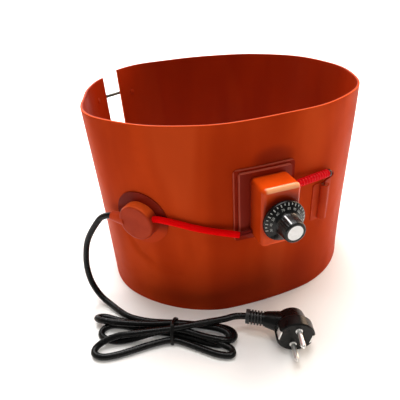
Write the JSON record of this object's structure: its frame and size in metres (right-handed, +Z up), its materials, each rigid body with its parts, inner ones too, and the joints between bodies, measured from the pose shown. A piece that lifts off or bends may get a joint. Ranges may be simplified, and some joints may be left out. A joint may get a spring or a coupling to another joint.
{
  "type": "drum heater band",
  "caption": "Orange silicone rubber drum heater band with adjustable thermostat, closing springs, and a mains cord with plug.",
  "frame": {"origin": "middle of the foot of the band's box, on the surface that it stands on", "axes": "+Z up, the thermostat's knob faces -Y, +X to the right as seen from the knob's side"},
  "size_m": [0.3572, 0.378, 0.22],
  "materials": {
    "silicone": "satin",
    "silicone_cover": "satin",
    "silicone_dark": "matt",
    "red_sleeving": "satin",
    "lead_insulation": "matt",
    "spring_steel": "bright",
    "plated_steel": "bright",
    "phenolic": "matt",
    "brass": "bright",
    "black_knob": "gloss",
    "white_cap": "gloss",
    "copper_tube": "bright",
    "cord_sheath": "satin",
    "plug_plastic": "gloss",
    "plug_metal": "bright",
    "splice_sleeve": "satin"
  },
  "bodies": {
    "heater": {"heater_band": "silicone", "upper_right_patch": "silicone_cover", "upper_right_stud": "plated_steel", "upper_left_patch": "silicone_cover", "upper_left_stud": "plated_steel", "lower_right_patch": "silicone_cover", "lower_right_stud": "plated_steel", "lower_left_patch": "silicone_cover", "lower_left_stud": "plated_steel", "upper_spring": "spring_steel", "lower_spring": "spring_steel", "thermostat_pad": "silicone_dark", "thermostat_cover": "silicone_cover", "thermostat_bracket": "plated_steel", "thermostat_body": "phenolic", "thermostat_screws": "plated_steel", "diaphragm_capsule": "plated_steel", "thermostat_terminals": "brass", "shaft_bush": "brass", "junction_pad": "silicone_dark", "junction_cap": "silicone_cover", "cord_relief": "silicone_cover", "cord_end": "cord_sheath", "crimp_splices": "splice_sleeve", "lead_sleeve": "red_sleeving", "lead_wires": "lead_insulation", "capillary_sleeve": "red_sleeving", "capillary_tube": "copper_tube", "sensor_bulb": "copper_tube", "sensor_patch": "silicone", "cord_hank": "cord_sheath", "cord_tie": "cord_sheath", "mains_cord": "cord_sheath", "plug_body": "plug_plastic", "plug_insert": "plug_plastic", "plug_pins": "plug_metal", "earth_clips": "plug_metal", "cord_tail": "cord_sheath"},
    "knob": {"control_knob": "black_knob", "knob_cap": "white_cap", "thermostat_shaft": "plated_steel"}
  },
  "joints": [
    {"name": "knob_turn", "type": "hinge", "parent": "heater", "child": "knob", "pos_m": [-0.00097, -0.1432, 0.1344], "axis": [0, -1, 0], "range_deg": [-120, 150]}
  ]
}
